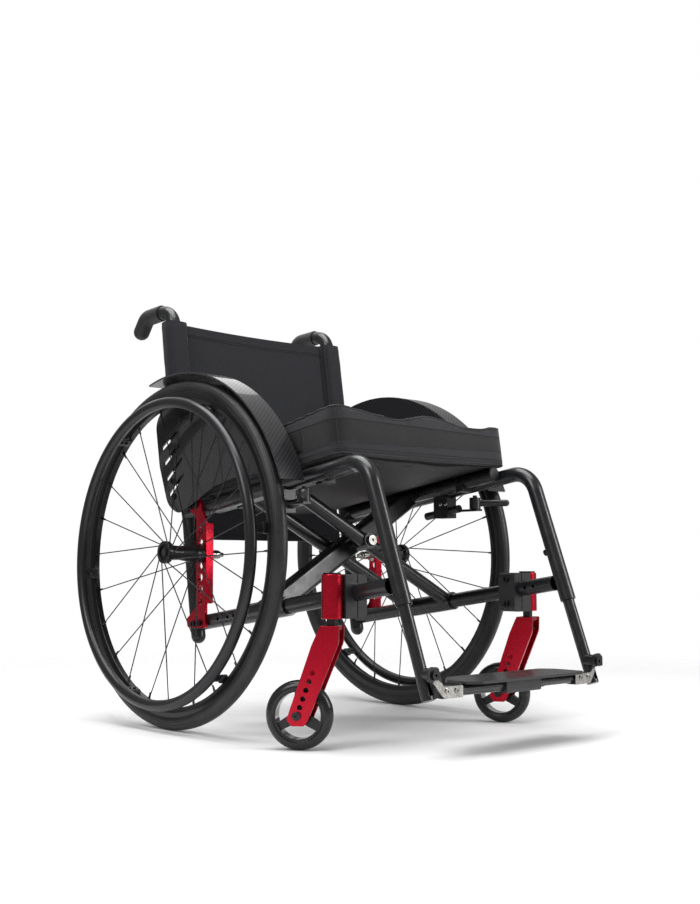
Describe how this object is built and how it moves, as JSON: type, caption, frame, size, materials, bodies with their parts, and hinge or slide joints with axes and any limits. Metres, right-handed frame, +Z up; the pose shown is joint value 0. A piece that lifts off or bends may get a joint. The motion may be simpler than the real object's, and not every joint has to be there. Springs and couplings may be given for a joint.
{
  "type": "folding manual wheelchair",
  "caption": "Folding active wheelchair with cambered spoked rear wheels, red caster forks, cross-brace frame, carbon side guards, fabric back, sling seat and padded cushion.",
  "frame": {"origin": "on the floor, below the middle of the chair's bounding box", "axes": "+X to the occupant's left, +Y to the back of the chair, +Z up"},
  "size_m": [0.6218, 0.851, 0.759],
  "materials": {
    "frame_black": "satin black powder coat",
    "anodised_red": "bright red anodised, satin",
    "clamp_black": "matt black anodised",
    "grip_rubber": "soft matt rubber",
    "tyre_rubber": "smooth black rubber",
    "rim_black": "black anodised",
    "handrim_black": "satin black anodised",
    "hub_black": "satin black anodised",
    "spoke_steel": "dark drawn wire",
    "carbon": "gloss carbon twill",
    "bright_steel": "plated steel",
    "dark_steel": "blackened steel",
    "black_plastic": "moulded nylon",
    "caster_rubber": "smooth solid rubber",
    "caster_rim": "black moulded wheel",
    "footplate_carbon": "satin black plate",
    "sling_fabric": "tight woven nylon",
    "cushion_fabric": "stretch cover over foam"
  },
  "bodies": {
    "right_frame": {"front_frame_tube_right": "frame_black", "lower_frame_tube_right": "frame_black", "back_post_right": "frame_black", "push_grip_right": "grip_rubber", "axle_plate_right": "anodised_red", "side_guard_right": "carbon", "caster_clamp_right": "clamp_black", "caster_housing_right": "anodised_red", "brake_mount_right": "clamp_black", "rail_saddles_right": "black_plastic", "footrest_tube_right": "frame_black", "frame_bolts_right": "dark_steel", "quick_release_axle_right": "bright_steel", "back_upholstery": "sling_fabric"},
    "left_frame": {"front_frame_tube_left": "frame_black", "lower_frame_tube_left": "frame_black", "back_post_left": "frame_black", "push_grip_left": "grip_rubber", "axle_plate_left": "anodised_red", "side_guard_left": "carbon", "caster_clamp_left": "clamp_black", "caster_housing_left": "anodised_red", "brake_mount_left": "clamp_black", "rail_saddles_left": "black_plastic", "footrest_tube_left": "frame_black", "frame_bolts_left": "dark_steel", "quick_release_axle_left": "bright_steel"},
    "brace_a": {"brace_arm_a": "frame_black", "seat_rail_left": "frame_black", "brace_pivot_bolt": "bright_steel", "seat_sling": "sling_fabric", "seat_cushion": "cushion_fabric"},
    "brace_b": {"brace_arm_b": "frame_black", "seat_rail_right": "frame_black"},
    "footplate": {"footrest_crossbar": "frame_black", "footrest_brackets": "frame_black", "footplate_clamp": "clamp_black", "footplate": "footplate_carbon"},
    "right_wheel": {"rear_tyre_right": "tyre_rubber", "rear_rim_right": "rim_black", "rear_spokes_right": "spoke_steel", "rear_hub_right": "hub_black", "handrim_right": "handrim_black"},
    "right_axle_button": {"axle_button_right": "black_plastic"},
    "right_caster_fork": {"caster_fork_right": "anodised_red", "caster_pins_right": "dark_steel"},
    "right_caster_wheel": {"caster_tyre_right": "caster_rubber", "caster_rim_right": "caster_rim"},
    "right_brake": {"brake_arm_right": "clamp_black"},
    "left_wheel": {"rear_tyre_left": "tyre_rubber", "rear_rim_left": "rim_black", "rear_spokes_left": "spoke_steel", "rear_hub_left": "hub_black", "handrim_left": "handrim_black"},
    "left_axle_button": {"axle_button_left": "black_plastic"},
    "left_caster_fork": {"caster_fork_left": "anodised_red", "caster_pins_left": "dark_steel"},
    "left_caster_wheel": {"caster_tyre_left": "caster_rubber", "caster_rim_left": "caster_rim"},
    "left_brake": {"brake_arm_left": "clamp_black"}
  },
  "joints": [
    {"name": "frame_fold", "type": "hinge", "parent": "right_frame", "child": "brace_a", "pos_m": [-0.19, -0.03442, 0.20014], "axis": [0, -0.9898, 0.1426], "range_deg": [0, 45], "deforming": ["seat_sling", "seat_cushion", "back_upholstery"]},
    {"name": "brace_cross", "type": "hinge", "parent": "brace_a", "child": "brace_b", "pos_m": [0, -0.01909, 0.30654], "axis": [0, -0.9898, 0.1426], "range_deg": [-90, 0]},
    {"name": "left_frame_pivot", "type": "hinge", "parent": "brace_b", "child": "left_frame", "pos_m": [0.19, -0.03442, 0.20014], "axis": [0, -0.9898, 0.1426], "range_deg": [0, 45]},
    {"name": "footplate_flip", "type": "hinge", "parent": "right_frame", "child": "footplate", "pos_m": [-0.188, -0.4078, 0.1185], "axis": [0, -1, 0], "range_deg": [0, 90]},
    {"name": "right_wheel_spin", "type": "hinge", "parent": "right_frame", "child": "right_wheel", "pos_m": [-0.2592, 0.1305, 0.29485], "axis": [-0.9995, 0, 0.0332], "continuous": true},
    {"name": "right_axle_release", "type": "slide", "parent": "right_frame", "child": "right_axle_button", "axis": [0.9995, 0, -0.0332], "range_m": [0, 0.004], "stiffness_N_per_m": 600, "springref_m": -0.003},
    {"name": "right_caster_swivel", "type": "hinge", "parent": "right_frame", "child": "right_caster_fork", "pos_m": [-0.226, -0.2352, 0.2], "axis": [0, 0, 1], "continuous": true},
    {"name": "right_caster_spin", "type": "hinge", "parent": "right_caster_fork", "child": "right_caster_wheel", "pos_m": [-0.25531, -0.19531, 0.0515], "axis": [-0.8059, -0.592, 0], "continuous": true},
    {"name": "right_brake_swing", "type": "hinge", "parent": "right_frame", "child": "right_brake", "pos_m": [-0.2, -0.1395, 0.383], "axis": [0, 0, -1], "range_deg": [0, 28]},
    {"name": "left_wheel_spin", "type": "hinge", "parent": "left_frame", "child": "left_wheel", "pos_m": [0.2592, 0.1305, 0.29485], "axis": [0.9995, 0, 0.0332], "continuous": true},
    {"name": "left_axle_release", "type": "slide", "parent": "left_frame", "child": "left_axle_button", "axis": [-0.9995, 0, -0.0332], "range_m": [0, 0.004], "stiffness_N_per_m": 600, "springref_m": -0.003},
    {"name": "left_caster_swivel", "type": "hinge", "parent": "left_frame", "child": "left_caster_fork", "pos_m": [0.226, -0.2352, 0.2], "axis": [0, 0, 1], "continuous": true},
    {"name": "left_caster_spin", "type": "hinge", "parent": "left_caster_fork", "child": "left_caster_wheel", "pos_m": [0.2077, -0.18921, 0.0515], "axis": [-0.9291, -0.3697, 0], "continuous": true},
    {"name": "left_brake_swing", "type": "hinge", "parent": "left_frame", "child": "left_brake", "pos_m": [0.2, -0.1395, 0.383], "axis": [0, 0, 1], "range_deg": [0, 28]}
  ],
  "couplings": [
    {"joint": "brace_cross", "follows": "frame_fold", "ratio": -2},
    {"joint": "left_frame_pivot", "follows": "frame_fold", "ratio": 1},
    {"joint": "footplate_flip", "follows": "frame_fold", "ratio": 2}
  ]
}
